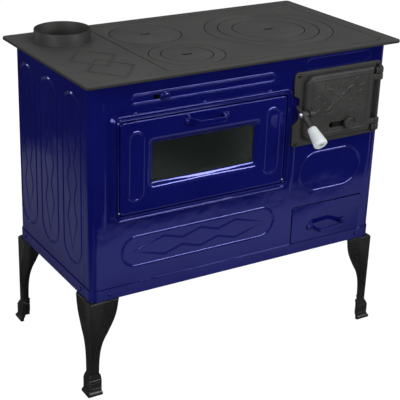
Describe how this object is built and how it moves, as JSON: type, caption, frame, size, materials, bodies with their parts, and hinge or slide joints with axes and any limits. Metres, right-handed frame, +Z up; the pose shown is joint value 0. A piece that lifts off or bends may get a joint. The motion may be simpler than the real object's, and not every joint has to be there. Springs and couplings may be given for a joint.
{
  "type": "wood cookstove",
  "caption": "Blue-enamelled wood cookstove on black cabriole legs, with a cast-iron hob of rings and lids, a glazed tilting oven door, a firebox door, an ash drawer and a flue collar.",
  "frame": {"origin": "on the floor, below the middle of the overall box, which runs from the tip of the latch grip to the rear edge of the hob", "axes": "+X to the right as seen from the front, +Y to the back, +Z up"},
  "size_m": [0.85, 0.5512, 0.7985],
  "materials": {
    "enamel": "gloss",
    "cast_iron": "matt",
    "door_iron": "matt, slightly rough",
    "black_paint": "satin paint",
    "dark_steel": "heat-blackened",
    "bright_steel": "polished",
    "ceramic": "glazed",
    "firebrick": "matt",
    "oven_glass": "clear, dark"
  },
  "bodies": {
    "stove_body": {"front_panel": "enamel", "left_side_panel": "enamel", "right_side_panel": "enamel", "back_panel": "enamel", "plinth_front": "enamel", "plinth_left": "enamel", "plinth_right": "enamel", "plinth_back": "enamel", "oven_door_surround": "enamel", "top_plate": "cast_iron", "hob_plate": "cast_iron", "flue_collar": "cast_iron", "firebox_frame": "door_iron", "firebox_hinge_rod": "door_iron", "fire_grate": "door_iron", "leg_front_left": "black_paint", "leg_front_right": "black_paint", "leg_back_right": "black_paint", "leg_back_left": "black_paint", "plinth_screw_front_1": "black_paint", "plinth_screw_front_2": "black_paint", "plinth_screw_left_1": "black_paint", "plinth_screw_left_2": "black_paint", "plinth_screw_right_1": "black_paint", "plinth_screw_right_2": "black_paint", "floor_sheet": "dark_steel", "oven_box": "dark_steel", "oven_shelf": "dark_steel", "ash_chute_left": "dark_steel", "ash_chute_right": "dark_steel", "smoke_divider": "dark_steel", "firebox_frame_screw_1": "bright_steel", "firebox_frame_screw_2": "bright_steel", "firebox_frame_screw_3": "bright_steel", "firebox_frame_screw_4": "bright_steel", "firebrick_left": "firebrick", "firebrick_right": "firebrick", "firebrick_back": "firebrick"},
    "oven_door": {"oven_door_panel": "enamel", "oven_door_liner": "dark_steel", "oven_door_glass": "oven_glass", "oven_door_handle": "enamel", "oven_hinge_rod": "bright_steel"},
    "firebox_door": {"firebox_door": "door_iron", "firebox_door_baffle": "door_iron", "latch_pin": "bright_steel"},
    "air_slider": {"air_slider": "door_iron"},
    "latch": {"latch_lever": "door_iron", "latch_grip": "ceramic"},
    "ash_drawer": {"ash_drawer_tray": "dark_steel", "ash_drawer_front": "enamel", "ash_drawer_handle": "enamel"},
    "damper": {"damper_slide": "dark_steel", "damper_knob": "enamel"},
    "rear_lid": {"rear_lid": "cast_iron"},
    "front_ring": {"front_ring": "cast_iron"},
    "front_lid": {"front_lid": "cast_iron"},
    "big_outer_ring": {"big_outer_ring": "cast_iron"},
    "big_middle_ring": {"big_middle_ring": "cast_iron"},
    "big_lid": {"big_lid": "cast_iron"}
  },
  "joints": [
    {"name": "oven_door_hinge", "type": "hinge", "parent": "stove_body", "child": "oven_door", "pos_m": [-0.1145, -0.17206, 0.45661], "axis": [1, 0, 0], "range_deg": [0, 90]},
    {"name": "firebox_door_hinge", "type": "hinge", "parent": "stove_body", "child": "firebox_door", "pos_m": [0.37635, -0.18066, 0.6266], "axis": [0, 0, 1], "range_deg": [0, 120]},
    {"name": "air_slide", "type": "slide", "parent": "firebox_door", "child": "air_slider", "axis": [1, 0, 0], "range_m": [-0.048, 0.012]},
    {"name": "latch_turn", "type": "hinge", "parent": "firebox_door", "child": "latch", "pos_m": [0.14282, -0.19436, 0.62248], "axis": [-1, 0, 0], "range_deg": [0, 45]},
    {"name": "ash_drawer_slide", "type": "slide", "parent": "stove_body", "child": "ash_drawer", "axis": [0, -1, 0], "range_m": [0, 0.3]},
    {"name": "damper_move", "type": "slide", "parent": "stove_body", "child": "damper", "axis": [-1, 0, 0], "range_m": [0, 0.024]},
    {"name": "rear_lid_lift", "type": "slide", "parent": "stove_body", "child": "rear_lid", "axis": [0, 0, 1], "range_m": [0, 0.08]},
    {"name": "front_ring_lift", "type": "slide", "parent": "stove_body", "child": "front_ring", "axis": [0, 0, 1], "range_m": [0, 0.08]},
    {"name": "front_lid_lift", "type": "slide", "parent": "front_ring", "child": "front_lid", "axis": [0, 0, 1], "range_m": [0, 0.08]},
    {"name": "big_outer_ring_lift", "type": "slide", "parent": "stove_body", "child": "big_outer_ring", "axis": [0, 0, 1], "range_m": [0, 0.08]},
    {"name": "big_middle_ring_lift", "type": "slide", "parent": "big_outer_ring", "child": "big_middle_ring", "axis": [0, 0, 1], "range_m": [0, 0.08]},
    {"name": "big_lid_lift", "type": "slide", "parent": "big_middle_ring", "child": "big_lid", "axis": [0, 0, 1], "range_m": [0, 0.08]}
  ]
}
